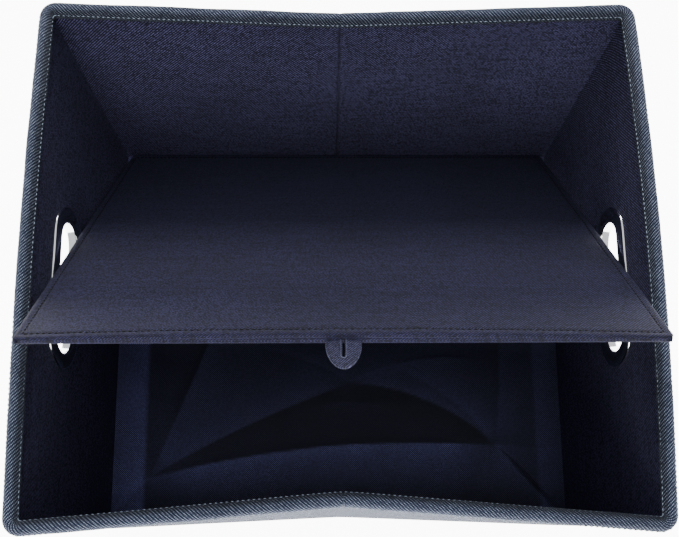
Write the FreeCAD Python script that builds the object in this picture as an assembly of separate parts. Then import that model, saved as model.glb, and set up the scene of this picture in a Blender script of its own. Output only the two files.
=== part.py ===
"""Collapsible fabric storage bin with a loose base board, in millimetres.

X runs across the bin (left to right), +Y points to its back, +Z is up.
The origin is the centre of the underside.  The bin is stored open, with the
base board tipped up about its rear hem.
"""
import FreeCAD, Part
import math
import os

V = FreeCAD.Vector

# overall sizes, over the bare walls
outerWidth = 380.0
outerDepth = 330.0
rimHeight = 190.0

# wall build-up: cover outside, greyboard stiffener, lining inside
coverThickness = 1.0
panelThickness = 2.0
liningThickness = 1.0
panelEndMargin = 4.0

# padded binding folded over the top edge of every wall
bindingProud = 1.75
bindingHeight = 8.0
bindingCrown = 1.75
bindingCornerRadius = 9.0

# oval hand-holes in the two side walls
holeLength = 92.0
holeHeight = 28.0
gripDrop = 65.0
grommetFlange = 11.0
grommetDomeHeight = 2.2
grommetBarrel = 1.0

# soft floor
floorThickness = 1.2
floorCornerRadius = 3.0

# base board in its fabric sleeve
boardSideClearance = 5.5
boardRearClearance = 0.8
boardFrontClearance = 5.5
boardCoreThickness = 2.6
sleeveThickness = 0.8
sleeveMargin = 3.0
boardCornerRadius = 6.0
boardRestAngle = 45.3
hemRadius = 1.7

# pull tab under the board's front edge
tabWidth = 19.5
tabLength = 18.0
tabThickness = 2.0
tabSlitLength = 10.0
tabSlitWidth = 1.5
tabRestAngle = 25.0
tabSewnLength = 16.0
tabSewnSetback = 2.0

# working clearances
hingeGap = 0.3
creaseGap = 0.15
gripSlack = 0.1

# worked out from the sizes above
wallThickness = coverThickness + panelThickness + liningThickness
innerHalfWidth = outerWidth / 2 - wallThickness
innerHalfDepth = outerDepth / 2 - wallThickness
pivotX = innerHalfWidth - bindingProud
pivotY = innerHalfDepth - bindingProud
rimOuterX = outerWidth / 2 + bindingProud
rimOuterY = outerDepth / 2 + bindingProud
wallBottom = floorThickness
wallTop = rimHeight - bindingCrown
gripZ = rimHeight - gripDrop
sleeveHeight = boardCoreThickness + 2 * sleeveThickness
hemY = innerHalfDepth - boardRearClearance - hemRadius
hemZ = floorThickness + hingeGap + max(hemRadius, sleeveHeight / 2)
boardHalfWidth = innerHalfWidth - boardSideClearance
boardFront = hemY + innerHalfDepth - boardFrontClearance
boardRear = hemRadius + hingeGap
tabPivotAhead = tabThickness / 2 + hingeGap
tabPivotBelow = sleeveHeight / 2 + tabThickness / 2


def box(x0, x1, y0, y1, z0, z1):
    return Part.makeBox(x1 - x0, y1 - y0, z1 - z0, V(x0, y0, z0))


def wrappedLayer(thickX, thickY, z0, z1, layerOut):
    """Side wall layer with short returns round both corners; layerOut is its depth from the outside."""
    outX = outerWidth / 2 - layerOut
    outY = outerDepth / 2 - layerOut
    shape = box(outX - thickX, outX, -outY, outY, z0, z1)
    for side in (-1, 1):
        near, far = sorted((side * (outY - thickY), side * outY))
        shape = shape.fuse(box(pivotX, outX, near, far, z0, z1))
    return shape.removeSplitter()


def obround(length, height, x0, x1):
    """Oval with round ends at the hand-hole's place, lying along Y and pushed along X."""
    radius = height / 2
    run = length / 2 - radius
    shape = box(x0, x1, -run, run, gripZ - radius, gripZ + radius)
    for y in (-run, run):
        shape = shape.fuse(Part.makeCylinder(radius, x1 - x0, V(x0, y, gripZ), V(1, 0, 0)))
    return shape.removeSplitter()


def mirrored(shape, planeNormal):
    return shape.mirror(V(0, 0, 0), planeNormal)


def sideLining():
    return wrappedLayer(liningThickness, liningThickness, wallBottom, wallTop,
                      coverThickness + panelThickness)


def sideCover():
    return wrappedLayer(coverThickness, coverThickness, wallBottom, wallTop, 0.0)


def sidePanel():
    reach = innerHalfDepth - panelEndMargin
    return box(innerHalfWidth + liningThickness, outerWidth / 2 - coverThickness,
               -reach, reach, wallBottom + coverThickness, wallTop - coverThickness)


def gripCut():
    margin = grommetBarrel + gripSlack
    return obround(holeLength + 2 * margin, holeHeight + 2 * margin,
                   innerHalfWidth - 1, outerWidth / 2 + 1)


def bindingBar(length, end):
    """Binding section along X, from x = 0 to length, centred on y = 0, slotted for the wall."""
    half = wallThickness / 2 + bindingProud
    low = rimHeight - bindingHeight
    bar = box(0, length, -half, half, low, rimHeight)
    longEdges = [edge for edge in bar.Edges
                 if abs(edge.Vertexes[0].Y - edge.Vertexes[-1].Y) < 1e-6
                 and abs(edge.Vertexes[0].Z - rimHeight) < 1e-6
                 and abs(edge.Vertexes[-1].Z - rimHeight) < 1e-6
                 and abs(edge.Vertexes[0].X - edge.Vertexes[-1].X) > 1]
    bar = bar.makeFillet(min(bindingProud, half - 0.5), longEdges)
    return bar.cut(box(-end, length + end, -wallThickness / 2, wallThickness / 2, low - 1, wallTop))


def sideBinding():
    """Binding over a side wall, turned round both corners as far as the fold lines."""
    low = rimHeight - bindingHeight
    block = box(pivotX, rimOuterX, -rimOuterY, rimOuterY, low, rimHeight)
    corners = [edge for edge in block.Edges
               if abs(edge.Vertexes[0].X - rimOuterX) < 1e-6
               and abs(edge.Vertexes[-1].X - rimOuterX) < 1e-6
               and abs(edge.Vertexes[0].Z - edge.Vertexes[-1].Z) > 1]
    block = block.makeFillet(min(bindingCornerRadius, wallThickness + bindingProud), corners)
    slot = wrappedLayer(wallThickness, wallThickness, low - 1, wallTop, 0.0)
    overrun = box(pivotX - 1, innerHalfWidth, -outerDepth / 2, -innerHalfDepth, low - 1, wallTop)
    return block.cut(slot).cut(overrun).cut(mirrored(overrun, V(0, 1, 0)))


def grommetFace(reach):
    """Domed oval ring outside the wall, with the barrel that lines the hand-hole."""
    wallFace = outerWidth / 2
    ring = obround(holeLength + 2 * grommetFlange, holeHeight + 2 * grommetFlange,
                   wallFace, wallFace + grommetDomeHeight)
    rims = [edge for edge in ring.Edges
            if all(abs(vertex.X - wallFace - grommetDomeHeight) < 1e-6 for vertex in edge.Vertexes)]
    ring = ring.makeFillet(grommetDomeHeight * 0.7, rims)
    barrel = obround(holeLength + 2 * grommetBarrel, holeHeight + 2 * grommetBarrel,
                     wallFace - reach, wallFace + grommetDomeHeight / 2)
    return ring.fuse(barrel).cut(
        obround(holeLength, holeHeight, wallFace - reach - 1, wallFace + grommetDomeHeight + 1))


def grommetBack():
    """Domed oval ring inside the wall, pressed over the end of the barrel."""
    wallFace = innerHalfWidth
    ring = obround(holeLength + 2 * grommetFlange, holeHeight + 2 * grommetFlange,
                   wallFace - grommetDomeHeight, wallFace)
    rims = [edge for edge in ring.Edges
            if all(abs(vertex.X - wallFace + grommetDomeHeight) < 1e-6 for vertex in edge.Vertexes)]
    ring = ring.makeFillet(grommetDomeHeight * 0.7, rims)
    return ring.cut(obround(holeLength, holeHeight, wallFace - grommetDomeHeight - 1, wallFace + 1))


def halfPlate(z0, z1, layerOut, thickness, endMargin=0.0):
    """One layer of the right half of the back wall, between the corner fold and the crease."""
    outY = outerDepth / 2 - layerOut
    return box(creaseGap + endMargin, pivotX - hingeGap - endMargin, outY - thickness, outY, z0, z1)


def halfBinding():
    length = pivotX - hingeGap - creaseGap
    bar = bindingBar(length, 1.0)
    bar.translate(V(creaseGap, innerHalfDepth + wallThickness / 2, 0))
    return bar


def tipped(shape):
    """Turns a shape drawn flat behind-to-front about the hem line to the stored board angle."""
    shape.rotate(V(0, hemY, hemZ), V(1, 0, 0), -boardRestAngle)
    return shape


def flatBoard(halfWidth, rear, front, height):
    """Board lying flat, its front corners rounded; the hem line is its rear datum."""
    board = box(-halfWidth, halfWidth, hemY - front, hemY - rear, hemZ - height / 2, hemZ + height / 2)
    frontCorners = [edge for edge in board.Edges
                    if abs(edge.Vertexes[0].Y - (hemY - front)) < 1e-6
                    and abs(edge.Vertexes[-1].Y - (hemY - front)) < 1e-6
                    and abs(edge.Vertexes[0].Z - edge.Vertexes[-1].Z) > 1]
    return board.makeFillet(boardCornerRadius, frontCorners)


def boardCore():
    return flatBoard(boardHalfWidth - sleeveMargin, boardRear + sleeveMargin,
                     boardFront - sleeveMargin, boardCoreThickness)


def boardSleeve():
    return flatBoard(boardHalfWidth, boardRear, boardFront, sleeveHeight).cut(boardCore())


def boardHem():
    return Part.makeCylinder(hemRadius, 2 * boardHalfWidth, V(-boardHalfWidth, hemY, hemZ), V(1, 0, 0))


def tabSewnEnd():
    """The end of the tab that is sewn flat under the board."""
    near = hemY - boardFront + tabSewnSetback
    top = hemZ - sleeveHeight / 2
    return box(-tabWidth / 2, tabWidth / 2, near, near + tabSewnLength, top - tabThickness, top)


def pullTab():
    """Shield-shaped tab with a buttonhole slit, drawn straight ahead of its fold line."""
    rootY = hemY - boardFront - tabPivotAhead
    z = hemZ - tabPivotBelow
    half = tabWidth / 2
    straight = tabLength - half
    near = rootY - 0.2
    tab = box(-half, half, rootY - straight, near, z - tabThickness / 2, z + tabThickness / 2)
    tip = Part.makeCylinder(half, tabThickness, V(0, rootY - straight, z - tabThickness / 2))
    tip = tip.common(box(-half, half, rootY - tabLength, rootY - straight,
                         z - tabThickness / 2, z + tabThickness / 2))
    slitMid = rootY - tabLength * 0.42
    slit = box(-tabSlitWidth / 2, tabSlitWidth / 2, slitMid - tabSlitLength / 2,
               slitMid + tabSlitLength / 2, z - tabThickness, z + tabThickness)
    shape = tab.fuse(tip).removeSplitter().cut(slit)
    shape.rotate(V(0, rootY, z), V(1, 0, 0), boardRestAngle - tabRestAngle)
    return shape


def floorSheet():
    sheet = box(-outerWidth / 2, outerWidth / 2, -outerDepth / 2, outerDepth / 2, 0, floorThickness)
    upright = [edge for edge in sheet.Edges if abs(edge.Vertexes[0].Z - edge.Vertexes[-1].Z) > 0.5]
    return sheet.makeFillet(floorCornerRadius, upright)


def sideWallNodes():
    """The right wall's pieces; the left wall mirrors them."""
    return {
        "panel_board": sidePanel().cut(gripCut()),
        "lining": sideLining().cut(gripCut()),
        "cover": sideCover().cut(gripCut()),
        "rim_binding": sideBinding(),
        "grommet_face": grommetFace(wallThickness),
        "grommet_back": grommetBack(),
    }


def halfWallNodes():
    """The back right half's pieces; the other three halves mirror them."""
    return {
        "panel_board": halfPlate(wallBottom + coverThickness, wallTop - coverThickness, coverThickness,
                                 panelThickness, panelEndMargin),
        "lining": halfPlate(wallBottom, wallTop, coverThickness + panelThickness, liningThickness),
        "cover": halfPlate(wallBottom, wallTop, 0.0, coverThickness),
        "rim_binding": halfBinding(),
    }


def allNodes():
    nodes = {"floor_sheet": floorSheet()}
    for piece, shape in sideWallNodes().items():
        nodes["right_" + piece] = shape
        nodes["left_" + piece] = mirrored(shape, V(1, 0, 0))
    for piece, shape in halfWallNodes().items():
        nodes["back_right_" + piece] = shape
        nodes["back_left_" + piece] = mirrored(shape, V(1, 0, 0))
        nodes["front_right_" + piece] = mirrored(shape, V(0, 1, 0))
        nodes["front_left_" + piece] = mirrored(mirrored(shape, V(1, 0, 0)), V(0, 1, 0))
    nodes["base_board_core"] = tipped(boardCore())
    nodes["base_board_sleeve"] = tipped(boardSleeve())
    nodes["base_board_rear_hem"] = boardHem()
    nodes["pull_tab_sewn_end"] = tipped(tabSewnEnd())
    nodes["pull_tab"] = tipped(pullTab())
    return nodes


def foldLines():
    """Prints where the fold lines and the board's two hinge lines lie."""
    tabRoot = V(0, hemY - boardFront - tabPivotAhead, hemZ - tabPivotBelow)
    turned = FreeCAD.Rotation(V(1, 0, 0), -boardRestAngle).multVec(tabRoot - V(0, hemY, hemZ))
    tabLine = turned + V(0, hemY, hemZ)
    print("corner folds at x", round(pivotX, 3), "y", round(pivotY, 3))
    print("creases at y", round(rimOuterY, 3))
    print("board hem at y", round(hemY, 3), "z", round(hemZ, 3))
    print("tab fold at y", round(tabLine.y, 3), "z", round(tabLine.z, 3))


os.makedirs("parts", exist_ok=True)
for name, shape in allNodes().items():
    if not shape.isValid() or shape.Volume <= 0:
        raise ValueError("bad solid: " + name)
    shape.exportStep("parts/" + name + ".step")
    print(name, len(shape.Solids), round(shape.Volume, 1))
foldLines()
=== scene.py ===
import math

import bmesh
import bpy
from mathutils import Matrix, Vector, noise


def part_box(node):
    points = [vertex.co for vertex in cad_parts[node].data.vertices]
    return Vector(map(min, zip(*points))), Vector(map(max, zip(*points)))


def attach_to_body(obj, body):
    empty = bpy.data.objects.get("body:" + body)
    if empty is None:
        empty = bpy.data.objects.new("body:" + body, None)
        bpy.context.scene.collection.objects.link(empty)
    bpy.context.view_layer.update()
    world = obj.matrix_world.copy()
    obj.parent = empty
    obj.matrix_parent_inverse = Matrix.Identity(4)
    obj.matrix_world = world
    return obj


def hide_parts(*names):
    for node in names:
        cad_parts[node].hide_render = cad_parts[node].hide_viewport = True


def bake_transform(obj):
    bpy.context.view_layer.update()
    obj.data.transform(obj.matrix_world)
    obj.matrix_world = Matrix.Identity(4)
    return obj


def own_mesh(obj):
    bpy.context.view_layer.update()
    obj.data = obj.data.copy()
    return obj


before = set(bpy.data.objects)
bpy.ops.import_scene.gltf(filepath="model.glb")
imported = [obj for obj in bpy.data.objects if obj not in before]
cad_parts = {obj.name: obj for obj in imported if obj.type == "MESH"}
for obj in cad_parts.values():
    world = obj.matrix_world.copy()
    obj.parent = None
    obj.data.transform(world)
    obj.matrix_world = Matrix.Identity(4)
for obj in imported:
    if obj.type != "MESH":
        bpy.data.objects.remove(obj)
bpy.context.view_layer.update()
print("frame loaded:", len(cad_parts), "nodes")

mm = 0.001

tub = {
    "wallMidX": 188 * mm,        # middle of the wall's thickness
    "wallMidY": 163 * mm,
    "rimTop": 190 * mm,
    "cornerRadius": 7.0 * mm,
    "straightStep": 6 * mm,
    "splitX": 100 * mm,          # where a corner piece of cloth ends on the front or back wall
    "splitY": 105 * mm,          # and on a side wall
}
bow = {
    "back": 7.6 * mm,            # the centre creases lean in at the rim
    "front": 16.4 * mm,
    "frontFoot": 0.5,            # how much of the front crease's dip is left at its foot
    "left": 3.0 * mm,            # the side walls belly out
    "right": 5.0 * mm,
    "lean": {"left": 3.2 * mm, "right": 1.8 * mm, "front": 1.0 * mm, "back": 7.2 * mm},
    "creaseSoftness": 5 * mm,
    "ripple": 0.35 * mm,
}


def finished(name, bm, material):
    bm.normal_update()
    mesh = bpy.data.meshes.new(name)
    bm.to_mesh(mesh)
    bm.free()
    mesh.materials.append(material)
    for polygon in mesh.polygons:
        polygon.use_smooth = True
    piece = bpy.data.objects.new(name, mesh)
    bpy.context.scene.collection.objects.link(piece)
    return piece


def withModifiers(piece):
    # the piece's modifiers are worked into its mesh
    depsgraph = bpy.context.evaluated_depsgraph_get()
    mesh = bpy.data.meshes.new_from_object(piece.evaluated_get(depsgraph))
    piece.modifiers.clear()
    piece.data = mesh
    return piece


def sharpen(piece, degrees):
    for edge in piece.data.edges:
        edge.use_edge_sharp = False
    piece.data.set_sharp_from_angle(angle=math.radians(degrees))
    return piece


def layFlat(bm):
    # the weave follows the cloth as it lies before it is shaped
    uv = bm.loops.layers.uv.new("cloth")
    for face in bm.faces:
        for loop in face.loops:
            loop[uv].uv = loop.vert.co.xy


def roundedCorner(x, y, halfX, halfY, radius):
    # draws a rectangle's corner in to a round
    dx, dy = abs(x) - (halfX - radius), abs(y) - (halfY - radius)
    if dx <= 0 or dy <= 0:
        return x, y
    scale = max(dx, dy) / math.hypot(dx, dy)
    return math.copysign(halfX - radius + dx * scale, x), math.copysign(halfY - radius + dy * scale, y)


# turns a flat disc so that it faces along x
faceAlongX = Matrix(((0, 0, 1, 0), (1, 0, 0, 0), (0, 1, 0, 0), (0, 0, 0, 1)))


def smoothStep(low, high, value):
    t = min(1, max(0, (value - low) / (high - low)))
    return t * t * (3 - 2 * t)


class WallPath:
    # a rounded rectangle, walked anticlockwise from the middle of the front wall

    def __init__(self):
        self.radius = tub["cornerRadius"]
        self.halfFront = tub["wallMidX"] - self.radius
        self.halfSide = tub["wallMidY"] - self.radius
        self.arc = math.pi / 2 * self.radius
        self.length = 4 * (self.halfFront + self.halfSide + self.arc)

    def runs(self):
        x, y = tub["wallMidX"], tub["wallMidY"]
        return [
            (self.halfFront, (0, -y), 0, False),
            (self.arc, (self.halfFront, -self.halfSide), 0, True),
            (2 * self.halfSide, (x, -self.halfSide), 90, False),
            (self.arc, (self.halfFront, self.halfSide), 90, True),
            (2 * self.halfFront, (self.halfFront, y), 180, False),
            (self.arc, (-self.halfFront, self.halfSide), 180, True),
            (2 * self.halfSide, (-x, self.halfSide), 270, False),
            (self.arc, (-self.halfFront, -self.halfSide), 270, True),
            (self.halfFront, (-self.halfFront, -y), 0, False),
        ]

    def at(self, distance):
        # the place on the line and the outward direction there
        for length, start, heading, turning in self.runs():
            if distance <= length + 1e-9:
                break
            distance -= length
        if turning:
            angle = math.radians(heading - 90) + distance / self.radius
            out = Vector((math.cos(angle), math.sin(angle), 0))
            return Vector((*start, 0)) + out * self.radius, out
        angle = math.radians(heading)
        along = Vector((math.cos(angle), math.sin(angle), 0))
        return Vector((*start, 0)) + along * distance, Vector((along.y, -along.x, 0))

    def ticks(self, first, last, step):
        # even stations, closer together round the corners and at the creases
        zones = [(mark - 4 * mm, mark + 4 * mm, 0.5 * mm) for mark in (0, self.length / 2, self.length)]
        zones += [(mark - 12 * mm, mark + 12 * mm, 2 * mm) for mark in (0, self.length / 2, self.length)]
        position = 0
        for length, start, heading, turning in self.runs():
            if turning:
                zones.append((position - 2 * mm, position + length + 2 * mm, 0.9 * mm))
            position += length
        stations, position = [first], first
        while position < last - 1e-6:
            near = [size for low, high, size in zones if low - size < position < high]
            position = min(last, position + min([step] + near))
            if last - position < 0.3 * mm:
                position = last
            stations.append(position)
        return stations


path = WallPath()


def leanAt(point, height):
    # how far the cloth stands off its straight place
    rise = min(1, max(0, height / tub["rimTop"]))
    flare = rise ** 1.6
    sideX = point.x / tub["wallMidX"]
    sideY = point.y / tub["wallMidY"]
    soft = math.hypot(point.x, bow["creaseSoftness"]) - bow["creaseSoftness"] * 0.4
    vee = max(0, 1 - soft / tub["wallMidX"])
    belly = rise * (1 - min(1, abs(sideY)) ** 2)
    frontDip = bow["frontFoot"] + (1 - bow["frontFoot"]) * rise
    lean = bow["lean"]
    across = Vector((0, 0, 0))
    across.y += smoothStep(0.5, 0.95, sideY) * (flare * lean["back"] - rise * bow["back"] * vee)
    across.y -= smoothStep(0.5, 0.95, -sideY) * (flare * lean["front"] - frontDip * bow["front"] * vee)
    across.x += smoothStep(0.5, 0.95, sideX) * (flare * lean["right"] + belly * bow["right"])
    across.x -= smoothStep(0.5, 0.95, -sideX) * (flare * lean["left"] + belly * bow["left"])
    return across


def rippled(point, height):
    # slight waves that a sewn panel keeps
    long = noise.noise(Vector((point.x * 9, point.y * 9, height * 14 + 3.1)))
    short = noise.noise(Vector((point.x * 30 + 7, point.y * 30, height * 38)))
    return (long + 0.4 * short) * bow["ripple"]


def sweep(name, first, last, step, outline, material, ripple=1.0, shaped=None):
    # a closed outline of (outwards, up) points drawn along the wall's line, with a cap at each end
    bm = bmesh.new()
    along = bm.verts.layers.float.new("along")
    around = bm.verts.layers.float.new("around")
    order = bm.verts.layers.int.new("order")
    lengths = [0]
    for a, b in zip(outline, outline[1:] + outline[:1]):
        lengths.append(lengths[-1] + math.dist(a, b))

    def place(verts, distance):
        point, out = path.at(distance)
        for vert in verts:
            offset, height = outline[vert[order]]
            grow = shaped(distance, offset, height) if shaped else 0
            wave = rippled(point, height) * ripple * smoothStep(0, 20 * mm, height)
            spot = point + out * (offset + wave + grow) + leanAt(point, height)
            vert.co = (spot.x, spot.y, height)
            vert[along] = distance
            vert[around] = lengths[vert[order]]

    ring = [bm.verts.new() for spot in outline]
    for number, vert in enumerate(ring):
        vert[order] = number
    stations = path.ticks(first, last, step)
    place(ring, stations[0])
    cap = bm.faces.new(ring)
    for station in stations[1:]:
        made = bmesh.ops.extrude_face_region(bm, geom=[cap])["geom"]
        cap = next(item for item in made if isinstance(item, bmesh.types.BMFace))
        place([item for item in made if isinstance(item, bmesh.types.BMVert)], station)
    bmesh.ops.recalc_face_normals(bm, faces=bm.faces)
    total = lengths[-1]
    uv = bm.loops.layers.uv.new("cloth")
    for face in bm.faces:
        reach = [loop.vert[around] for loop in face.loops]
        wraps = len(face.loops) == 4 and max(reach) - min(reach) > total / 2
        for loop, value in zip(face.loops, reach):
            if wraps and value < total / 2:
                value += total
            loop[uv].uv = (loop.vert[along], value)
    return finished(name, bm, material)


class Wire:
    # wraps a socket so that shader maths reads as an expression

    def __init__(self, material, socket):
        self.material, self.socket = material, socket

    def math(self, operation, *others):
        inputs = {0: self, **dict(enumerate(others, 1))}
        return self.material.node("ShaderNodeMath", {"operation": operation}, inputs)

    def __add__(self, other):
        return self.math("ADD", other)

    def __radd__(self, other):
        return self.math("ADD", other)

    def __sub__(self, other):
        return self.math("SUBTRACT", other)

    def __rsub__(self, other):
        return (self * -1) + other

    def __mul__(self, other):
        return self.math("MULTIPLY", other)

    def __rmul__(self, other):
        return self.math("MULTIPLY", other)

    def __truediv__(self, other):
        return self.math("DIVIDE", other)

    def __pow__(self, other):
        return self.math("POWER", other)

    def highest(self, other):
        return self.math("MAXIMUM", other)

    def lowest(self, other):
        return self.math("MINIMUM", other)

    def sine(self):
        return self.math("SINE")

    def floor(self):
        return self.math("FLOOR")

    def fract(self):
        return self.math("FRACT")

    def between(self, low, high):
        # 0 below low, 1 above high, smooth in between
        inputs = {"Value": self, "From Min": low, "From Max": high}
        return self.material.node("ShaderNodeMapRange", {"interpolation_type": "SMOOTHSTEP"}, inputs)


class Finish:
    # a material with a Principled shader; fixed values are set on the shader's own sockets

    def __init__(self, name, colour, **fixed):
        self.data = bpy.data.materials.new(name)
        self.data.use_nodes = True
        self.nodes = self.data.node_tree.nodes
        self.links = self.data.node_tree.links
        self.shader = next(node for node in self.nodes if node.type == "BSDF_PRINCIPLED")
        self.shader.inputs["Base Color"].default_value = (*colour, 1)
        self.data.diffuse_color = (*colour, 1)
        for socket, value in fixed.items():
            self.shader.inputs[socket.replace("_", " ")].default_value = value

    def node(self, kind, settings, inputs, output=0):
        node = self.nodes.new(kind)
        for key, value in settings.items():
            setattr(node, key, value)
        for key, value in inputs.items():
            self.feed(node.inputs[key], value)
        return Wire(self, node.outputs[output])

    def feed(self, socket, value):
        if isinstance(value, Wire):
            self.links.new(value.socket, socket)
        else:
            socket.default_value = value

    def set(self, socket, value):
        self.feed(self.shader.inputs[socket], value)

    def cloth(self):
        # distances along and across the cloth, in millimetres
        uv = self.node("ShaderNodeUVMap", {"uv_map": "cloth"}, {})
        along = self.node("ShaderNodeSeparateXYZ", {}, {"Vector": uv}, "X")
        across = self.node("ShaderNodeSeparateXYZ", {}, {"Vector": uv}, "Y")
        return along * 1000, across * 1000

    def spot(self):
        return self.node("ShaderNodeTexCoord", {}, {}, "Object")

    def speckle(self, scale, detail=2, vector=None):
        inputs = {"Vector": vector or self.spot(), "Scale": scale, "Detail": detail}
        return self.node("ShaderNodeTexNoise", {}, inputs)

    def joined(self, x, y, z=0.0):
        return self.node("ShaderNodeCombineXYZ", {}, {0: x, 1: y, 2: z})

    def mixed(self, share, first, second, blend="MIX"):
        inputs = {0: share}
        for socket, colour in ((6, first), (7, second)):
            inputs[socket] = colour if isinstance(colour, Wire) else (*colour, 1)
        return self.node("ShaderNodeMix", {"data_type": "RGBA", "blend_type": blend}, inputs, 2)

    def bumped(self, height, distance):
        inputs = {"Height": height, "Distance": distance, "Strength": 1.0}
        self.set("Normal", self.node("ShaderNodeBump", {}, inputs))


def twill(finish, thread, floats):
    # a twill weave: the long threads' crowns, lying in slanting rows, and a chance value for each thread
    along, across = finish.cloth()
    bend = finish.speckle(1.0, 2, finish.joined(along * 0.05, across * 0.05)) * 1.6
    u, v = along / thread + bend, across / thread
    phase = ((u + v.floor()) / floats).fract()
    crown = (phase * math.pi).sine() ** 1.3
    roundV = (v.fract() * math.pi).sine()
    height = crown * (roundV * 0.5 + 0.5)
    cell = finish.joined(((u + v.floor()) / floats).floor(), v.floor())
    chance = finish.node("ShaderNodeTexWhiteNoise", {"noise_dimensions": "2D"}, {"Vector": cell})
    return along, across, height, chance


def clothFinish(name, look):
    finish = Finish(name, look["dark"], Roughness=look["roughness"], Sheen_Weight=look["sheen"])
    finish.shader.inputs["Sheen Roughness"].default_value = 0.5
    finish.shader.inputs["Sheen Tint"].default_value = (*look["sheenTint"], 1)
    finish.shader.inputs["Specular IOR Level"].default_value = 0.2
    along, across, height, chance = twill(finish, look["thread"], look["floats"])
    streak = finish.speckle(1.0, 3, finish.joined(along * look["streakAlong"], across * look["streakAcross"]))
    slub = finish.speckle(1.0, 2, finish.joined(along * 0.5, across * 0.25))
    patch = finish.speckle(look["patch"], 3)
    woven = height.between(look["edgeLow"], look["edgeHigh"])
    uneven = chance * look["chance"] + 1 - look["chance"] / 2
    shown = woven * uneven * ((slub - 0.5) * look["slub"] + 1)
    tone = finish.mixed(shown.highest(0).lowest(1), look["dark"], look["light"])
    shade = (streak - 0.5) * look["streaks"] + (patch - 0.5) * look["patches"] + 1
    if "paintedShadeFlank" in look:
        # painted shade: the inner side of the rim, which faces away from the light, is darkened in colour
        first, last, amount = look["paintedShadeFlank"]
        shade = shade * (1 - across.between(first, last) * amount)
    deep = finish.mixed(1.0, tone, finish.joined(shade, shade, shade), "MULTIPLY")
    finish.set("Base Color", deep)
    fuzz = finish.speckle(2600, 1)
    finish.bumped(height + fuzz * 0.3 + streak * 0.5, look["relief"])
    return finish.data


twillLook = {
    "dark": (0.0018, 0.0017, 0.0060), "light": (0.070, 0.066, 0.158), "edgeLow": 0.46, "edgeHigh": 1.0,
    "slub": 1.8, "chance": 1.7, "thread": 0.72, "floats": 3,
    "streakAlong": 0.02, "streakAcross": 0.35, "streaks": 1.0,
    "patch": 14, "patches": 0.7, "relief": 0.0003, "roughness": 0.88, "sheen": 0.03,
    "sheenTint": (0.35, 0.38, 0.6),
}
indigo = clothFinish("indigo twill", twillLook)
# painted shade: the board's sleeve is the same twill as the walls, made darker in colour to match how dark
# the tipped board looks
shadedSleeveCloth = clothFinish("board twill", {
    **twillLook, "dark": (0.0012, 0.0012, 0.0045), "light": (0.028, 0.027, 0.082), "thread": 0.6,
    "streakAlong": 0.015, "streakAcross": 0.3,
})
denimLook = {
    "dark": (0.003, 0.006, 0.020), "light": (0.175, 0.205, 0.27), "edgeLow": 0.56, "edgeHigh": 1.0,
    "slub": 1.3, "chance": 1.0, "thread": 0.72, "floats": 3,
    "streakAlong": 0.03, "streakAcross": 0.5, "streaks": 0.5,
    "patch": 30, "patches": 0.6, "relief": 0.0004, "roughness": 0.9, "sheen": 0.02,
    "sheenTint": (0.6, 0.65, 0.75),
}
denim = clothFinish("blue grey denim", {**denimLook, "light": (0.115, 0.135, 0.18)})
# the rim's inner flank carries painted shade
rimDenim = clothFinish("rim denim", {**denimLook, "paintedShadeFlank": (11.0, 14.5, 0.6)})
tabCloth = clothFinish("tab twill", {
    **twillLook, "dark": (0.003, 0.003, 0.009), "light": (0.058, 0.058, 0.125), "thread": 0.5, "patch": 60,
})


def oxfordFinish():
    # a plain weave with a grid of paler thread crossings
    # the tone attribute holds painted light and shade along the folds and towards the front wall, and lighter
    # strips at the sides
    finish = Finish("navy oxford", (0.012, 0.015, 0.035), Roughness=0.6)
    finish.shader.inputs["Specular IOR Level"].default_value = 0.3
    along, across = finish.cloth()
    pitch = 1.2
    u, v = (along + across) / pitch * 0.7, (along - across) / pitch * 0.7
    roundU = (u.fract() * math.pi).sine()
    roundV = (v.fract() * math.pi).sine()
    crossing = (roundU * roundV).between(0.35, 0.95)
    cell = finish.joined(u.floor(), v.floor())
    chance = finish.node("ShaderNodeTexWhiteNoise", {"noise_dimensions": "2D"}, {"Vector": cell})
    patch = finish.speckle(18, 3)
    tone = finish.node("ShaderNodeAttribute", {"attribute_name": "tone"}, {}, "Fac")
    lit = crossing * (chance * 0.5 + 0.6)
    weave = finish.mixed(lit.lowest(1), (0.0018, 0.0019, 0.0068), (0.044, 0.046, 0.118))
    shade = tone * (patch * 0.5 + 0.75)
    deep = finish.mixed(1.0, weave, finish.joined(shade, shade, shade), "MULTIPLY")
    finish.set("Base Color", deep)
    finish.bumped(roundU * roundV, 0.0003)
    return finish.data


def threadFinish(name, colour):
    finish = Finish(name, colour, Roughness=0.75)
    finish.shader.inputs["Specular IOR Level"].default_value = 0.25
    twist = finish.speckle(1800, 1)
    finish.set("Base Color", finish.mixed(twist, tuple(0.6 * part for part in colour), colour))
    finish.bumped(twist, 0.0001)
    return finish.data


def metalFinish():
    finish = Finish("polished chrome", (0.72, 0.73, 0.75), Metallic=1.0)
    smear = finish.speckle(60, 4)
    fine = finish.speckle(900, 2)
    finish.set("Roughness", smear * 0.08 + fine * 0.03 + 0.05)
    finish.bumped(fine, 0.000004)
    return finish.data


def greyboardFinish():
    finish = Finish("greyboard", (0.36, 0.33, 0.29), Roughness=0.95)
    pulp = finish.speckle(400, 4)
    finish.set("Base Color", finish.mixed(pulp, (0.27, 0.25, 0.22), (0.45, 0.42, 0.37)))
    finish.bumped(pulp, 0.0002)
    return finish.data


oxford = oxfordFinish()
paleThread = threadFinish("pale thread", (0.23, 0.28, 0.36))
navyThread = threadFinish("navy thread", (0.0015, 0.0016, 0.005))
tabThread = threadFinish("tab thread", (0.07, 0.075, 0.13))
chrome = metalFinish()
greyboard = greyboardFinish()
print("materials made")


view = {
    "eye": (-8.2, -158.2, 626.4),        # mm
    "down": 79.49, "turn": 4.52, "roll": 4.23,
    "lens": 39.88, "shift": 0.164,
}


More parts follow.
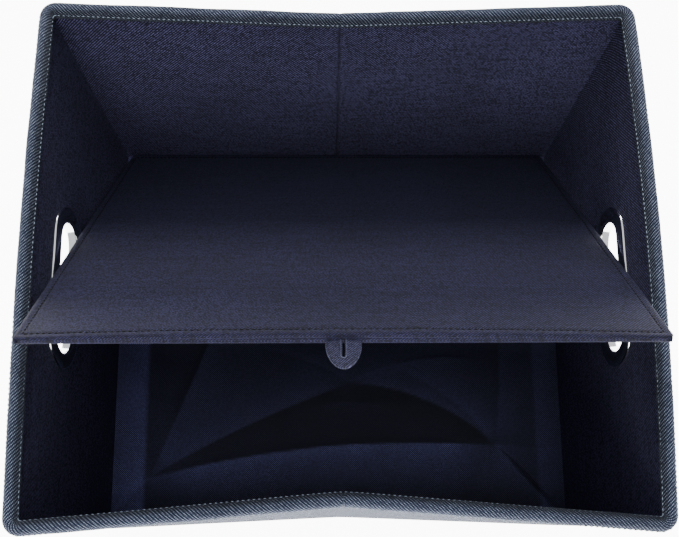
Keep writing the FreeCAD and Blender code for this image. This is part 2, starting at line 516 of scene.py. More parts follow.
studio = {
    "skyLight": 1.15, "floorGlow": 9.0,
    "lamps": {
        # each has its place, the point it faces, its width and its power
        "frontLamp": ((-0.2, -1.9, 1.75), (0, 0.16, 0.12), 1.1, 80),
        "topLamp": ((0.1, -0.2, 2.3), (0, -0.05, 0.1), 0.8, 12),
        "backLamp": ((-0.2, 2.0, 0.95), (0, -0.05, 0.2), 1.0, 52),
    },
}


def addCamera():
    data = bpy.data.cameras.new("camera")
    data.sensor_width = 36
    data.lens = view["lens"]
    data.shift_y = view["shift"]
    data.clip_start = 0.01
    camera = bpy.data.objects.new("camera", data)
    turn = Matrix.Rotation(math.radians(-view["turn"]), 4, "Z")
    tilt = Matrix.Rotation(math.radians(90 - view["down"]), 4, "X")
    roll = Matrix.Rotation(math.radians(view["roll"]), 4, "Z")
    camera.matrix_world = Matrix.Translation(Vector(view["eye"]) * mm) @ turn @ tilt @ roll
    bpy.context.scene.collection.objects.link(camera)
    bpy.context.scene.camera = camera


def addLamp(name, spot, aim, size, power):
    data = bpy.data.lights.new(name, "AREA")
    data.size, data.energy = size, power
    lamp = bpy.data.objects.new(name, data)
    lamp.location = spot
    lamp.rotation_euler = (Vector(aim) - Vector(spot)).to_track_quat("-Z", "Y").to_euler()
    bpy.context.scene.collection.objects.link(lamp)


def addStudio():
    bm = bmesh.new()
    bmesh.ops.create_grid(bm, x_segments=1, y_segments=1, size=6)
    bmesh.ops.translate(bm, verts=bm.verts, vec=(0, 0, -0.0002))
    finish = Finish("pale floor", (0.93, 0.93, 0.93), Roughness=0.9, Emission_Strength=studio["floorGlow"])
    finish.set("Base Color", finish.mixed(finish.speckle(3, 2), (0.92, 0.92, 0.92), (0.94, 0.94, 0.94)))
    finish.shader.inputs["Emission Color"].default_value = (1, 1, 1, 1)
    finished("studioFloor", bm, finish.data)
    for name, (spot, aim, size, power) in studio["lamps"].items():
        addLamp(name, spot, aim, size, power)
    world = bpy.data.worlds.new("studio")
    world.use_nodes = True
    world.node_tree.nodes["Background"].inputs[0].default_value = (0.97, 0.98, 1.0, 1)
    world.node_tree.nodes["Background"].inputs[1].default_value = studio["skyLight"]
    bpy.context.scene.world = world


addCamera()
addStudio()
print("camera and light set")


quarter = path.halfFront + path.arc
sideEnd = quarter + 2 * path.halfSide
middleBack = path.length / 2
midRight = path.halfFront + path.arc + path.halfSide
midLeft = path.length - midRight
lengths = {
    "front_right": (0, tub["splitX"], ["front_right_half"]),
    "front_right_corner": (
        tub
        ["splitX"], midRight - tub["splitY"], ["front_right_half", "right_wall"],
    ),
    "right": (midRight - tub["splitY"], midRight + tub["splitY"], ["right_wall"]),
    "back_right_corner": (
        midRight + tub
        ["splitY"], middleBack - tub["splitX"], ["right_wall", "back_right_half"],
    ),
    "back": (middleBack - tub["splitX"], middleBack + tub["splitX"], ["back_right_half", "back_left_half"]),
    "back_left_corner": (
        middleBack + tub
        ["splitX"], midLeft - tub["splitY"], ["back_left_half", "left_wall"],
    ),
    "left": (midLeft - tub["splitY"], midLeft + tub["splitY"], ["left_wall"]),
    "front_left_corner": (
        midLeft + tub
        ["splitY"], path.length - tub["splitX"], ["left_wall", "front_left_half"],
    ),
    "front_left": (path.length - tub["splitX"], path.length, ["front_left_half"]),
}
bodyPanel = {
    "front_right_half": "front_right", "front_left_half": "front_left", "back_right_half": "back_right",
    "back_left_half": "back_left", "right_wall": "right", "left_wall": "left",
}
bendReach = {"corner": 11 * mm, "crease": 6 * mm}


def attach(piece, where, *layers):
    # a length inside one panel rides on it; one that crosses a fold line is baked in place and rides on
    # neither panel
    first, last, bodies = lengths[where]
    if layers:
        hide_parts(*[bodyPanel[body] + "_" + layer for body in bodies for layer in layers])
    if len(bodies) == 1:
        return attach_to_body(piece, bodies[0])
    if where == "back":
        middle, reach = middleBack, bendReach["crease"]
    else:
        arcs = [path.halfFront, quarter + 2 * path.halfSide]
        arcs += [path.length - arcs[1] - path.arc, path.length - arcs[0] - path.arc]
        middle = next(arc for arc in arcs if first < arc < last) + path.arc / 2
        reach = bendReach["corner"]
    start, end = path.at(middle - reach)[0], path.at(middle + reach)[0]
    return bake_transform(piece)


wall = {
    "foot": 1.2 * mm, "top": 186.5 * mm, "rowHeight": 9 * mm,
    "lining": (-2.0 * mm, -1.0 * mm),
    "cover": (1.0 * mm, 2.0 * mm),
    "panel": (-0.95 * mm, 0.95 * mm),
    "panelMargin": 4 * mm,
}
grip = {
    "height": 125 * mm, "length": 92 * mm, "across": 28 * mm, "flange": 11 * mm,
    "dome": 2.2 * mm, "barrel": 1.0 * mm, "slack": 0.1 * mm,
}


def creased(distance, offset, height):
    # the lining's two halves meet in a pressed seam down the middle
    across = min(abs(distance - mark) for mark in (0, path.length / 2, path.length))
    corners = (path.halfFront, sideEnd, path.length - quarter, path.length - sideEnd - path.arc)
    corner = min(abs(distance - start - path.arc / 2) for start in corners)
    if offset > 0:
        return 0
    if corner < 8 * mm:
        return 1.3 * mm * math.exp(-(corner / (1.6 * mm)) ** 2)
    groove = 1.7 * mm * math.exp(-(across / (0.75 * mm)) ** 2)
    shoulder = 0.35 * mm * math.exp(-((across - 2 * mm) / (1 * mm)) ** 2)
    return groove - shoulder


def layerOutline(inner, outer, low, high):
    rows = max(1, round((high - low) / wall["rowHeight"]))
    heights = [low + (high - low) * row / rows for row in range(rows + 1)]
    return [(inner, height) for height in heights] + [(outer, height) for height in reversed(heights)]


def gripCutter(side):
    # an oval bar through the side wall at the hand-hole
    bm = bmesh.new()
    radius = grip["across"] / 2 + grip["barrel"] + grip["slack"]
    run = grip["length"] / 2 - grip["across"] / 2
    made = bmesh.ops.create_circle(bm, cap_ends=True, segments=48, radius=radius)
    for vert in made["verts"]:
        vert.co.x += run if vert.co.x > 0 else -run
    bmesh.ops.transform(bm, matrix=faceAlongX, verts=bm.verts)
    top = bmesh.ops.extrude_face_region(bm, geom=bm.faces[:])["geom"]
    bmesh.ops.translate(bm, verts=[v for v in top if isinstance(v, bmesh.types.BMVert)], vec=(0.03, 0, 0))
    bmesh.ops.recalc_face_normals(bm, faces=bm.faces)
    middle = side * tub["wallMidX"] - 0.015
    bmesh.ops.translate(bm, verts=bm.verts, vec=(middle, 0, grip["height"]))
    return finished("gripCutter", bm, greyboard)


def pierced(piece, where):
    # cuts the hand-hole through a layer of a side wall
    if where not in ("left", "right"):
        return piece
    cutter = gripCutter(1 if where == "right" else -1)
    cut = piece.modifiers.new("handHole", "BOOLEAN")
    cut.operation, cut.solver, cut.object = "DIFFERENCE", "EXACT", cutter
    withModifiers(piece)
    bpy.data.objects.remove(cutter)
    return piece


def addWalls():
    for where, (first, last, bodies) in lengths.items():
        for layer, material in (("lining", indigo), ("cover", denim)):
            inner, outer = wall[layer]
            outline = layerOutline(inner, outer, wall["foot"], wall["top"])
            shaping = creased if layer == "lining" else None
            name = where + "_" + layer + "_cloth"
            piece = sweep(name, first, last, tub["straightStep"], outline, material, 1, shaping)
            sharpen(pierced(piece, where), 50)
            attach(piece, where, layer)


def addPanels():
    # the greyboard stiffeners between lining and cover
    cornerEnd = path.arc + wall["panelMargin"]
    spans = {
        "right": (quarter + wall["panelMargin"], sideEnd - wall["panelMargin"]),
        "left": (path.length - sideEnd + wall["panelMargin"], path.length - quarter - wall["panelMargin"]),
        "front_right": (wall["panelMargin"], path.halfFront - wall["panelMargin"]),
        "back_right": (sideEnd + cornerEnd, middleBack - wall["panelMargin"]),
        "back_left": (middleBack + wall["panelMargin"], path.length - sideEnd - cornerEnd),
        "front_left": (path.length - path.halfFront + wall["panelMargin"], path.length - wall["panelMargin"]),
    }
    bodyOf = {panel: body for body, panel in bodyPanel.items()}
    for where, (first, last) in spans.items():
        outline = layerOutline(*wall["panel"], wall["foot"] + 1 * mm, wall["top"] - 1 * mm)
        piece = sweep(where + "_stiffener", first, last, 12 * mm, outline, greyboard)
        sharpen(pierced(piece, where), 50)
        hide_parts(where + "_panel_board")
        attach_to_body(piece, bodyOf[where])


addWalls()
addPanels()
print("walls made")


rim = {
    "middle": 185.6 * mm,        # height of the roll's centre
    "halfWidth": 3.75 * mm, "innerWidth": 5.3 * mm, "halfHeight": 4.4 * mm,
    "firstAngle": -52, "points": 20,
    "slotWidth": 2.1 * mm, "slotTop": 187 * mm,
    "step": 1.2 * mm,
}
stitch = {"pitch": 3.1 * mm, "length": 1.9 * mm, "thick": 0.56 * mm, "slant": 12, "around": 14}


def rollSpot(angle):
    width = rim["halfWidth"] if math.cos(angle) > 0 else rim["innerWidth"]
    return width * math.cos(angle), rim["middle"] + rim["halfHeight"] * math.sin(angle)


def rollOutline():
    step = (180 - 2 * rim["firstAngle"]) / rim["points"]
    angles = [rim["firstAngle"] + step * i for i in range(rim["points"] + 1)]
    roll = [rollSpot(math.radians(angle)) for angle in angles]
    foot = roll[0][1]
    slot = [(-rim["slotWidth"], foot + 0.3 * mm), (-rim["slotWidth"], rim["slotTop"]),
            (rim["slotWidth"], rim["slotTop"]), (rim["slotWidth"], foot + 0.3 * mm)]
    return roll + slot


def puckered(distance, offset, height):
    # the stitches pull the roll in, and its filling is a little uneven
    outside = 1 if offset > 0 else -1
    if abs(offset) <= rim["slotWidth"] + 0.01 * mm:
        return 0
    low = 1 - smoothStep(rim["middle"] - 4 * mm, rim["middle"] + 2 * mm, height)
    pull = math.sin(2 * math.pi * distance / stitch["pitch"]) * 0.16 * mm * low
    uneven = noise.noise(Vector((distance * 45, offset * 60, 1.7))) * 0.28 * mm
    finer = noise.noise(Vector((distance * 210, offset * 120, 5.2))) * 0.10 * mm
    crease = min(abs(distance - mark) for mark in (0, path.length / 2, path.length))
    notch = -0.8 * mm * math.exp(-(crease / (0.9 * mm)) ** 2)
    return outside * (pull + uneven + finer + notch)


def addStitches(name, places, material, size=(stitch["length"], stitch["thick"])):
    # places holds (middle, direction, facing) for each stitch
    bm = bmesh.new()
    for middle, direction, facing in places:
        made = bmesh.ops.create_icosphere(bm, subdivisions=1, radius=0.5)
        side = facing.cross(direction).normalized()
        up = direction.cross(side).normalized()
        turn = Matrix((direction.normalized(), side, up)).transposed().to_4x4()
        scale = Matrix.Diagonal((size[0], size[1], size[1], 1))
        bmesh.ops.transform(bm, matrix=Matrix.Translation(middle) @ turn @ scale, verts=made["verts"])
    return finished(name, bm, material)


def rimStitchPlaces(first, last, outside):
    places = []
    count = int((last - first) / stitch["pitch"])
    for i in range(count):
        distance = first + (i + 0.5) * (last - first) / count
        point, out = path.at(distance)
        ahead = path.at(min(path.length, distance + 0.5 * mm))[0] - path.at(max(0, distance - 0.5 * mm))[0]
        around = stitch["around"] if outside > 0 else 180 - stitch["around"]
        offset, height = rollSpot(math.radians(around))
        spot = point + out * offset + leanAt(point, height)
        spot.z = height
        direction = ahead.normalized() + Vector((0, 0, math.tan(math.radians(stitch["slant"]))))
        places.append((spot, direction.normalized(), out * outside))
    return places


def addRim():
    outline = rollOutline()
    for where, (first, last, bodies) in lengths.items():
        piece = sweep(where + "_rim_roll", first, last, rim["step"], outline, rimDenim, 1.0, puckered)
        attach(piece, where, "rim_binding")
        for outside, label in ((-1, "inner"), (1, "outer")):
            places = rimStitchPlaces(first, last, outside)
            threads = addStitches(where + "_rim_stitches_" + label, places, paleThread)
            attach(threads, where)


addRim()
print("rim made")


def ovalStations(halfAcross, count):
    # places and outward directions round the hand-hole's edge, in the wall's plane (y, z)
    run = grip["length"] / 2 - grip["across"] / 2
    stations = []
    for end in (1, -1):
        for i in range(count + 1):
            angle = -90 + 180 * i / count + (0 if end == 1 else 180)
            out = Vector((0, math.cos(math.radians(angle)), math.sin(math.radians(angle))))
            stations.append((Vector((0, end * run, 0)) + out * halfAcross, out))
    return stations


def ovalRing(name, outline, side, depth):
    # outline holds (away from the hole, away from the wall) points; the ring is closed
    bm = bmesh.new()
    rings = []
    for spot, out in ovalStations(grip["across"] / 2, 24):
        ring = []
        for away, height in outline:
            place = spot + out * away + Vector((height, 0, grip["height"]))
            lean = leanAt(Vector((side * tub["wallMidX"], place.y, 0)), place.z).x
            ring.append(bm.verts.new((side * (depth + place.x) + lean, place.y, place.z)))
        rings.append(ring)
    loops = [[bm.edges.new((a, b)) for a, b in zip(ring, ring[1:] + ring[:1])] for ring in rings]
    for one, two in zip(loops, loops[1:] + loops[:1]):
        bmesh.ops.bridge_loops(bm, edges=one + two)
    bmesh.ops.recalc_face_normals(bm, faces=bm.faces)
    return finished(name, bm, chrome)


def domeOutline(sign):
    wide, dome, lip = grip["flange"], grip["dome"], 0.5 * mm
    arc = []
    for i in range(13):
        angle = math.radians(180 - 180 * i / 12)
        height = lip + (dome - lip) * math.sin(angle) ** 0.8
        arc.append((wide / 2 + wide / 2 * math.cos(angle), sign * height))
    return arc + [(wide, 0), (grip["barrel"], 0)]


def addGrommets():
    for side, label in ((1, "right"), (-1, "left")):
        outerFace = tub["wallMidX"] + wall["cover"][1]
        innerFace = tub["wallMidX"] + wall["lining"][0]
        through = innerFace - outerFace
        face = domeOutline(1) + [(grip["barrel"], through), (0, through - 0.3 * mm)]
        ring = ovalRing(label + "_grommet_outer_ring", face, side, outerFace)
        back = ovalRing(label + "_grommet_inner_ring", domeOutline(-1), side, innerFace)
        for piece, node in ((ring, "_grommet_face"), (back, "_grommet_back")):
            sharpen(piece, 40)
            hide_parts(label + node)
            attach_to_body(piece, label + "_wall")


addGrommets()
print("grommets made")


sheet = {
    "halfX": 189.5 * mm, "halfY": 164.5 * mm, "thick": 1.1 * mm, "cell": 1.95 * mm, "cornerRadius": 9 * mm,
    "flat": (0.380, 0.330), "lift": 4.0 * mm, "baseTone": 0.85,
}
# places on the floor, in mm, where its folds meet
meets = {"left": (-155, -125), "right": (130, -100), "peak": (10, -45)}
# each fold runs from one place to another, drawn towards a third; then its height, its lit side
# (1 left of the line, -1 right), how much painted light and over what width, how much painted shade and over
# what width
folds = [
    (meets["left"], (-75, -78), meets["peak"], 3.6, 1, 1.2, 26, 0.5, 18),
    (meets["peak"], (85, -52), meets["right"], 3.6, 1, 1.2, 26, 0.5, 18),
    (meets["left"], (-20, -95), meets["right"], 3.4, -1, 3.2, 24, 0.3, 12),
    ((-185, -155), (-170, -140), meets["left"], 2.8, 1, 0.8, 10, 0.4, 6),
    ((180, -155), (155, -130), meets["right"], 3.2, 1, 0.7, 12, 0.4, 8),
    (meets["left"], (-125, -50), (-90, 40), 2.2, -1, 0.9, 26, 0.35, 8),
    ((135, 30), (140, -30), meets["right"], 2.0, 1, 0.6, 18, 0.4, 7),
    (meets["peak"], (50, -20), (110, -25), 2.4, -1, 0.6, 7, 0.3, 5),
    ((-65, -15), (-20, -25), meets["peak"], 1.6, 1, 0.5, 8, 0.3, 5),
    ((50, -35), (95, -50), meets["right"], 2.2, 1, 0.6, 9, 0.4, 5),
    ((-20, -66), (10, -58), (40, -66), 1.2, -1, 0.4, 4, 0.2, 4),
    ((-155, 10), (0, 200), (160, 10), 3.0, 1, 0.5, 14, 0.3, 9),
    ((-180, 155), (-150, 100), (-110, 70), 2.4, 1, 0.4, 10, 0.3, 8),
    ((180, 155), (150, 105), (115, 75), 2.4, 1, 0.4, 10, 0.3, 8),
]


def bent(start, pull, end, count=6):
    # a smooth curve from start to end, drawn towards pull
    points = []
    for i in range(count + 1):
        t = i / count
        shares = ((1 - t) ** 2, 2 * t * (1 - t), t * t)
        points.append(tuple(sum(s * spot[k] for s, spot in zip(shares, (start, pull, end))) for k in (0, 1)))
    return points


foldLines = [bent(*fold[:3]) for fold in folds]


def nearestOn(line, x, y):
    # how far a place is from a line, positive on its left, and how much the line has faded out there
    best = (1e9, 1)
    for i, ((ax, ay), (bx, by)) in enumerate(zip(line, line[1:])):
        dx, dy = bx - ax, by - ay
        t = min(1, max(0, ((x - ax) * dx + (y - ay) * dy) / (dx * dx + dy * dy)))
        ex, ey = x - ax - t * dx, y - ay - t * dy
        reach = math.hypot(ex, ey)
        if reach < abs(best[0]):
            end = (i + t) / (len(line) - 1)
            fade = 0.3 + 0.7 * smoothStep(0, 0.15, end) * smoothStep(0, 0.15, 1 - end)
            best = (math.copysign(reach, dx * ey - dy * ex), fade)
    return best


def foldAt(x, y):
    # the cloth's height above its flat place, in mm, and the painted light and shade it carries
    height, tone = 0, sheet["baseTone"]
    for line, fold in zip(foldLines, folds):
        high, litSide, foldPaintedLight, litWidth, foldPaintedShade, darkWidth = fold[3:]
        offset, fade = nearestOn(line, x, y)
        reach, lit = abs(offset), smoothStep(-1.1, 1.1, offset * litSide)
        gentle = math.exp(-((reach / litWidth) ** 1.4))
        steep = math.exp(-((reach / (darkWidth * 0.4)) ** 1.4))
        height = max(height, high * fade * (gentle * lit + steep * (1 - lit)))
        tone += foldPaintedLight * fade * math.exp(-reach / litWidth) * lit
        tone -= foldPaintedShade * fade * math.exp(-reach / darkWidth) * (1 - lit)
    # lighter strips along the left and right edges
    for side, edge, amount in ((-1, 158, 3.0), (1, 163, 1.2)):
        fading = 1 - 0.4 * smoothStep(edge, edge + 30, side * x)
        tone += amount * smoothStep(edge, edge + 4, side * x) * fading
    # painted shade: darker towards the front wall, where the floor meets it
    tone -= 0.5 * smoothStep(-126, -146, y)
    return height, max(0.25, tone)


def addFloorSheet():
    bm = bmesh.new()
    tone = bm.verts.layers.float.new("tone")
    countX = round(2 * sheet["halfX"] / sheet["cell"])
    countY = round(2 * sheet["halfY"] / sheet["cell"])
    size = Matrix.Diagonal((sheet["halfX"], sheet["halfY"], 1, 1))
    bmesh.ops.create_grid(bm, x_segments=countX, y_segments=countY, size=1, matrix=size)
    layFlat(bm)
    for vert in bm.verts:
        corner = roundedCorner(vert.co.x, vert.co.y, sheet["halfX"], sheet["halfY"], sheet["cornerRadius"])
        vert.co.x, vert.co.y = corner
        x, y = vert.co.x / mm, vert.co.y / mm
        edge = min(sheet["halfX"] / mm - 3.5 - abs(x), sheet["halfY"] / mm - 3.5 - abs(y))
        inside = smoothStep(0, 8, edge)
        wave = noise.noise(Vector((x * 0.013, y * 0.016, 4.0))) * 0.6
        wave += noise.noise(Vector((x * 0.05, y * 0.055, 9.0))) * 0.3
        height, light = foldAt(x, y)
        vert.co.z = sheet["thick"] + min(sheet["lift"], max(0, height + wave) * inside * mm)
        # painted light and shade: higher places of the cloth get a lighter tone, lower places a darker one
        vert[tone] = light + wave * 0.25
        foot = leanAt(Vector((vert.co.x, -tub["wallMidY"], 0)), 0).y
        vert.co.y += foot * smoothStep(-50, -150, y)
    bmesh.ops.solidify(bm, geom=bm.faces[:], thickness=sheet["thick"])
    bmesh.ops.recalc_face_normals(bm, faces=bm.faces)
    piece = finished("floor_cloth", bm, oxford)
    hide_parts("floor_sheet")
    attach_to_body(piece, "left_wall")
    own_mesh(piece)


addFloorSheet()
print("floor made")


board = {
    "halfWidth": 181.5 * mm, "rear": 2.0 * mm, "front": 313 * mm, "thick": 4.2 * mm,
    "cornerRadius": 5 * mm, "edgeRadius": 2.0 * mm, "fineEdge": 9 * mm,
    "seam": 5.2 * mm, "seamDepth": 0.45 * mm,
    "angle": 45.3, "core": 2.0 * mm, "crown": 3.0 * mm, "droop": 1.2 * mm, "rightFlare": 2.0 * mm,
    "stitchPitch": 3.4 * mm, "stitchSize": (2.5 * mm, 1.0 * mm), "hemRadius": 1.75 * mm,
}
hemLow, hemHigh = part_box("base_board_rear_hem")
hem = (hemLow + hemHigh) / 2


def tipped(spot):
    # from the board lying flat, with y counted forwards from the hem, to its tipped place
    angle = math.radians(board["angle"])
    ahead = Vector((0, -math.cos(angle), math.sin(angle)))
    up = Vector((0, math.sin(angle), math.cos(angle)))
    forward = smoothStep(0, 1, spot.y / board["front"])
    crown = (board["crown"] * (1 - (spot.x / board["halfWidth"]) ** 2) - board["droop"]) * forward
    flare = board["rightFlare"] * max(0, spot.x / board["halfWidth"]) ** 3 * forward
    return Vector((spot.x + flare, hem.y, hem.z)) + ahead * spot.y + up * (spot.z + crown)


def boardSurface(x, y, top):
    # the padded look of cloth over board: a rounded edge, a pulled-in seam line and slight waves
    inset = min(board["halfWidth"] - abs(x), y - board["rear"], board["front"] - y)
    seam = math.exp(-((inset - board["seam"]) / (1.1 * mm)) ** 2) * board["seamDepth"]
    wave = noise.noise(Vector((x * 16, y * 16, 2.0 + top))) * 0.35 * mm
    wave += noise.noise(Vector((x * 60, y * 60, 6.0 + top))) * 0.12 * mm * math.exp(-(inset / (18 * mm)) ** 2)
    edge = max(0, 1 - max(0, inset) / board["edgeRadius"])
    roundOff = (1 - math.sqrt(max(0, 1 - edge * edge))) * board["thick"] / 2
    return board["thick"] / 2 - seam - roundOff + wave * smoothStep(0, 8 * mm, inset)


def spacedLines(low, high, margin):
    # finer lines near both edges for the seam, coarser in the middle
    fine = [i * 0.7 * mm for i in range(int(margin / (0.7 * mm)) + 1)]
    middle = high - low - 2 * fine[-1]
    count = max(1, round(middle / (6 * mm)))
    lines = [low + f for f in fine]
    lines += [low + fine[-1] + middle * i / count for i in range(1, count)]
    lines += [high - f for f in reversed(fine)]
    return lines


def addBoard():
    bm = bmesh.new()
    xs = spacedLines(-board["halfWidth"], board["halfWidth"], board["fineEdge"])
    ys = spacedLines(board["rear"], board["front"], board["fineEdge"])
    bmesh.ops.create_grid(bm, x_segments=len(xs) - 1, y_segments=len(ys) - 1, size=0.5)
    for vert in bm.verts:
        vert.co.x = xs[round((vert.co.x + 0.5) * (len(xs) - 1))]
        vert.co.y = ys[round((vert.co.y + 0.5) * (len(ys) - 1))]
    for vert in bm.verts:
        # corners drawn in to a small round
        for signX in (-1, 1):
            for cornerY, signY in ((board["front"], 1), (board["rear"], -1)):
                radius = board["cornerRadius"] if signY == 1 else 2 * mm
                cx = signX * (board["halfWidth"] - radius)
                cy = cornerY - signY * radius
                dx, dy = (vert.co.x - cx) * signX, (vert.co.y - cy) * signY
                if dx > 0 and dy > 0:
                    reach = max(dx, dy)
                    scale = reach / math.hypot(dx, dy)
                    vert.co.x, vert.co.y = cx + signX * dx * scale, cy + signY * dy * scale
    copy = bmesh.ops.duplicate(bm, geom=bm.verts[:] + bm.edges[:] + bm.faces[:])
    lower = set(item for item in copy["geom"] if isinstance(item, bmesh.types.BMVert))
    for vert in bm.verts:
        top = 0 if vert in lower else 1
        depth = boardSurface(vert.co.x, vert.co.y, top)
        vert.co.z = depth if top else -depth
    bmesh.ops.remove_doubles(bm, verts=bm.verts, dist=0.05 * mm)
    rims = [edge for edge in bm.edges if len(edge.link_faces) == 1]
    if rims:
        bmesh.ops.bridge_loops(bm, edges=rims)
    # the weave keeps its size where the cloth turns over an edge
    uv = bm.loops.layers.uv.new("cloth")
    for face in bm.faces:
        for loop in face.loops:
            spot = loop.vert.co
            drop = board["thick"] / 2 - abs(spot.z)
            overSide = drop if abs(spot.x) > board["halfWidth"] - board["edgeRadius"] else 0
            overFront = drop if spot.y > board["front"] - board["edgeRadius"] else 0
            loop[uv].uv = (spot.x + math.copysign(overSide, spot.x), spot.y + overFront)
    for vert in bm.verts:
        vert.co = tipped(vert.co)
    bmesh.ops.recalc_face_normals(bm, faces=bm.faces)
    piece = finished("base_board_cloth", bm, shadedSleeveCloth)
    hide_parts("base_board_sleeve")
    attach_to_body(piece, "board")


def addBoardCore():
    # the greyboard inside the sleeve, bowed with it
    bm = bmesh.new()
    low, high = board["rear"] + 1.2 * mm, board["front"] - 3 * mm
    size = Matrix.Translation((0, (low + high) / 2, -board["core"] / 2))
    size = size @ Matrix.Diagonal((board["halfWidth"] - 3 * mm, (high - low) / 2, 1, 1))
    bmesh.ops.create_grid(bm, x_segments=24, y_segments=24, size=1, matrix=size)
    grown = bmesh.ops.extrude_face_region(bm, geom=bm.faces[:])["geom"]
    top = [item for item in grown if isinstance(item, bmesh.types.BMVert)]
    bmesh.ops.translate(bm, verts=top, vec=(0, 0, board["core"]))
    for vert in bm.verts:
        vert.co = tipped(vert.co)
    bmesh.ops.recalc_face_normals(bm, faces=bm.faces)
    piece = sharpen(finished("base_board_stiffener", bm, greyboard), 50)
    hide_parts("base_board_core")
    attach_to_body(piece, "board")


def boardStitchPlaces(top):
    low, high = board["rear"] + board["seam"], board["front"] - board["seam"]
    side = board["halfWidth"] - board["seam"]
    corners = [Vector((x, y, 0)) for x, y in ((-side, low), (side, low), (side, high), (-side, high))]
    places = []
    for start, end in zip(corners, corners[1:] + corners[:1]):
        count = round((end - start).length / board["stitchPitch"])
        for i in range(count):
            spot = start.lerp(end, (i + 0.5) / count)
            spot.z = (1 if top else -1) * (boardSurface(spot.x, spot.y, 1 if top else 0) + 0.2 * mm)
            ahead = tipped(spot + (end - start).normalized() * mm) - tipped(spot)
            up = tipped(Vector((0, 0, 1))) - tipped(Vector((0, 0, 0)))
            places.append((tipped(spot), ahead.normalized(), up if top else -up))
    return places


def addBoardStitches():
    for top, label in ((True, "top"), (False, "under")):
        places = boardStitchPlaces(top)
        threads = addStitches("base_board_stitches_" + label, places, navyThread, board["stitchSize"])
        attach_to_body(threads, "board")


def addHem():
    # the sleeve's closing hem along the board's back edge
    bm = bmesh.new()
    halfLength = board["halfWidth"] - 0.5 * mm
    made = bmesh.ops.create_circle(bm, cap_ends=True, segments=16, radius=board["hemRadius"])
    bmesh.ops.transform(bm, matrix=faceAlongX, verts=bm.verts)
    bmesh.ops.translate(bm, verts=bm.verts, vec=(-halfLength, hem.y, hem.z))
    end = bm.faces[:]
    steps = 110
    for i in range(steps):
        made = bmesh.ops.extrude_face_region(bm, geom=end)["geom"]
        end = [item for item in made if isinstance(item, bmesh.types.BMFace)]
        moved = [item for item in made if isinstance(item, bmesh.types.BMVert)]
        bmesh.ops.translate(bm, verts=moved, vec=(2 * halfLength / steps, 0, 0))
    rounds = [face for face in bm.faces if len(face.verts) > 4]
    inner = [face for face in rounds if abs(face.calc_center_median().x) < halfLength - mm]
    bmesh.ops.delete(bm, geom=inner, context="FACES_ONLY")
    for vert in bm.verts:
        wobble = noise.noise(Vector((vert.co.x * 60, vert.co.y * 300, vert.co.z * 300))) * 0.15 * mm
        vert.co += Vector((0, vert.co.y - hem.y, vert.co.z - hem.z)).normalized() * wobble
    bmesh.ops.recalc_face_normals(bm, faces=bm.faces)
    uv = bm.loops.layers.uv.new("cloth")
    for face in bm.faces:
        for loop in face.loops:
            turn = math.atan2(loop.vert.co.z - hem.z, loop.vert.co.y - hem.y)
            loop[uv].uv = (loop.vert.co.x, turn * board["hemRadius"])
    piece = finished("base_board_rear_hem_cloth", bm, shadedSleeveCloth)
    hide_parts("base_board_rear_hem")
    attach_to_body(piece, "board_hem")


addBoard()
addBoardCore()
addBoardStitches()
addHem()
print("board made")


tab = {
    "halfWidth": 9.75 * mm, "length": 18 * mm, "thick": 1.7 * mm, "angle": 25,
    "sewn": 16 * mm, "slitHalf": 0.8 * mm, "slitFrom": -0.8 * mm, "slitTo": 10.2 * mm,
    "rootAhead": 313.6 * mm, "rootBelow": 1.3 * mm,      # from the board's hem
    "shoulder": 0.2, "point": 1.6,       # where the shield starts to narrow, and how pointed it is
    "weltReach": 1.55 * mm,
    "edgeThread": (1.1 * mm, 0.32 * mm), "weltThread": (0.9 * mm, 0.42 * mm),
}


def tabOutline():
    # half of the shield, from its fold to its tip
    half = [(tab["halfWidth"], 0)]
    for i in range(13):
        share = math.sin(math.pi / 2 * i / 12)
        width = math.sqrt(1 - share ** tab["point"])
        run = tab["shoulder"] + (1 - tab["shoulder"]) * share
        half.append((width * tab["halfWidth"], run * tab["length"]))
    return half


def tabBoundary():
    # right round the tab, from the back of its sewn end
    half = [(tab["halfWidth"], -run) for run in (tab["sewn"], 8 * mm, 4 * mm)] + tabOutline()
    return half[:-1] + [(-x, y) for x, y in reversed(half)]


def slitOutline():
    points = []
    for i in range(13):
        angle = math.pi * i / 12
        points.append((tab["slitHalf"] * math.cos(angle), tab["slitTo"] + tab["slitHalf"] * math.sin(angle)))
    return points + [(-tab["slitHalf"], tab["slitFrom"]), (tab["slitHalf"], tab["slitFrom"])]


def aheadAt(degrees):
    # forwards, and up by this angle
    angle = math.radians(degrees)
    return Vector((0, -math.cos(angle), math.sin(angle)))


def spotAt(across, run, up):
    # run is negative along the sewn end and positive along the free end
    boardAhead = aheadAt(board["angle"])
    boardUp = Vector((0, boardAhead.z, -boardAhead.y))
    root = Vector((0, hem.y, hem.z)) + boardAhead * tab["rootAhead"] - boardUp * tab["rootBelow"]
    turn = smoothStep(-3 * mm, 3 * mm, run)
    direction = boardAhead.lerp(aheadAt(tab["angle"]), turn).normalized()
    normal = Vector((0, direction.z, -direction.y))
    return root + direction * run + normal * up + Vector((across, 0, 0))


def tabThickness(x, y):
    # half of the tab's thickness, with a raised border and a welt round the slit
    border = max(0, 1 - abs(abs(x) - tab["halfWidth"] + 1 * mm) / (1 * mm)) * 0.15 * mm
    aroundSlit = math.hypot(x, max(0, y - tab["slitTo"]) + max(0, tab["slitFrom"] - y))
    welt = math.exp(-((aroundSlit - 2.0 * mm) / (0.9 * mm)) ** 2) * 0.45 * mm
    return tab["thick"] / 2 + border + welt


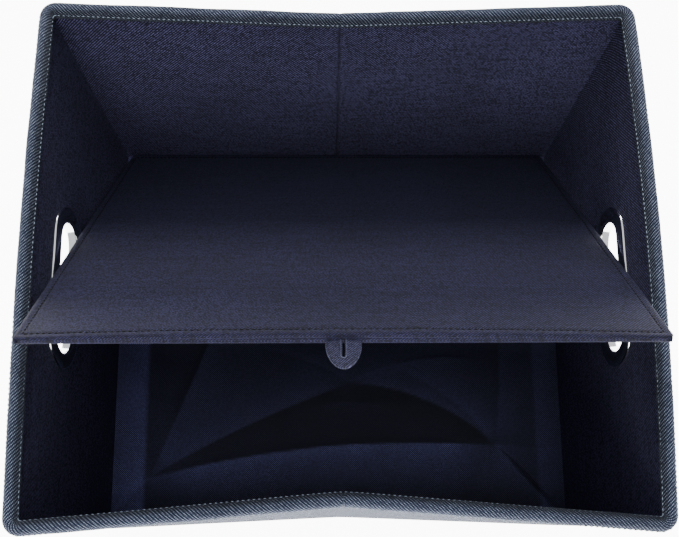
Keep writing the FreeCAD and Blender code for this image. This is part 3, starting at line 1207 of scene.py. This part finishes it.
def addTab():
    bm = bmesh.new()
    edges = []
    for outline in (tabBoundary(), slitOutline()):
        ring = [bm.verts.new((x, y, 0)) for x, y in outline]
        edges += [bm.edges.new((a, b)) for a, b in zip(ring, ring[1:] + ring[:1])]
    bmesh.ops.triangle_fill(bm, use_beauty=True, edges=edges)
    cuts = [((0, i * 1.1 * mm, 0), (0, 1, 0)) for i in range(-14, 20)]
    cuts += [((i * 1.3 * mm, 0, 0), (1, 0, 0)) for i in range(-8, 9)]
    for spot, facing in cuts:
        geom = bm.verts[:] + bm.edges[:] + bm.faces[:]
        bmesh.ops.bisect_plane(bm, geom=geom, plane_co=spot, plane_no=facing)
    layFlat(bm)
    grown = bmesh.ops.extrude_face_region(bm, geom=bm.faces[:])["geom"]
    top = [item for item in grown if isinstance(item, bmesh.types.BMVert)]
    bmesh.ops.translate(bm, verts=top, vec=(0, 0, tab["thick"]))
    for vert in bm.verts:
        x, y = vert.co.x, vert.co.y
        side = 1 if vert.co.z > tab["thick"] / 2 else -1
        wave = noise.noise(Vector((x * 150, y * 150, 3))) * 0.12 * mm
        vert.co = spotAt(x, y, side * tabThickness(x, y) + wave)
    bmesh.ops.recalc_face_normals(bm, faces=bm.faces)
    piece = sharpen(finished("pull_tab_cloth", bm, tabCloth), 50)
    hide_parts("pull_tab", "pull_tab_sewn_end")
    spotAt(0, -2 * mm, 0)
    spotAt(0, 2 * mm, 0)
    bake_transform(piece)


def edgeThreadPlaces():
    # overcast stitches along the edge of the free end
    places = []
    free = [(x, y) for x, y in tabBoundary() if y >= 0]
    for (ax, ay), (bx, by) in zip(free, free[1:]):
        reach = math.dist((ax, ay), (bx, by))
        count = max(1, round(reach / (1.1 * mm)))
        for i in range(count):
            t = (i + 0.5) / count
            x, y = ax + (bx - ax) * t, ay + (by - ay) * t
            here = spotAt(x, y, 0)
            along = spotAt(x + (bx - ax) / reach * 0.1 * mm, y + (by - ay) / reach * 0.1 * mm, 0) - here
            out = spotAt(x * 1.05, y * 1.02, 0) - here
            places.append((here, along.normalized(), out.normalized()))
    return places


def weltThreadPlaces():
    # buttonhole stitches that stand round the slit, on both faces
    places = []
    for i in range(44):
        t = i / 43 * 2 - 1
        run = tab["slitTo"] - tab["slitFrom"]
        if abs(t) > 0.3:
            x = math.copysign(tab["weltReach"], t)
            y = tab["slitTo"] - (abs(t) - 0.3) / 0.7 * run
            outwards = Vector((math.copysign(1, t), 0))
        else:
            angle = math.pi / 2 * (1 - t / 0.3)
            x, y = tab["weltReach"] * math.cos(angle), tab["slitTo"] + tab["weltReach"] * math.sin(angle)
            outwards = Vector((math.cos(angle), math.sin(angle)))
        for side in (1, -1):
            raised = side * (tab["thick"] / 2 + 0.35 * mm)
            here = spotAt(x, y, raised)
            away = spotAt(x + outwards.x * 0.1 * mm, y + outwards.y * 0.1 * mm, raised) - here
            up = spotAt(x, y, side * 3 * mm) - here
            places.append((here, away.normalized(), up.normalized()))
    return places


def addTabThreads():
    for label, places in (("edge", edgeThreadPlaces()), ("welt", weltThreadPlaces())):
        threads = addStitches("pull_tab_threads_" + label, places, tabThread, tab[label + "Thread"])
        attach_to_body(threads, "tab")


addTab()
addTabThreads()
print("tab made")
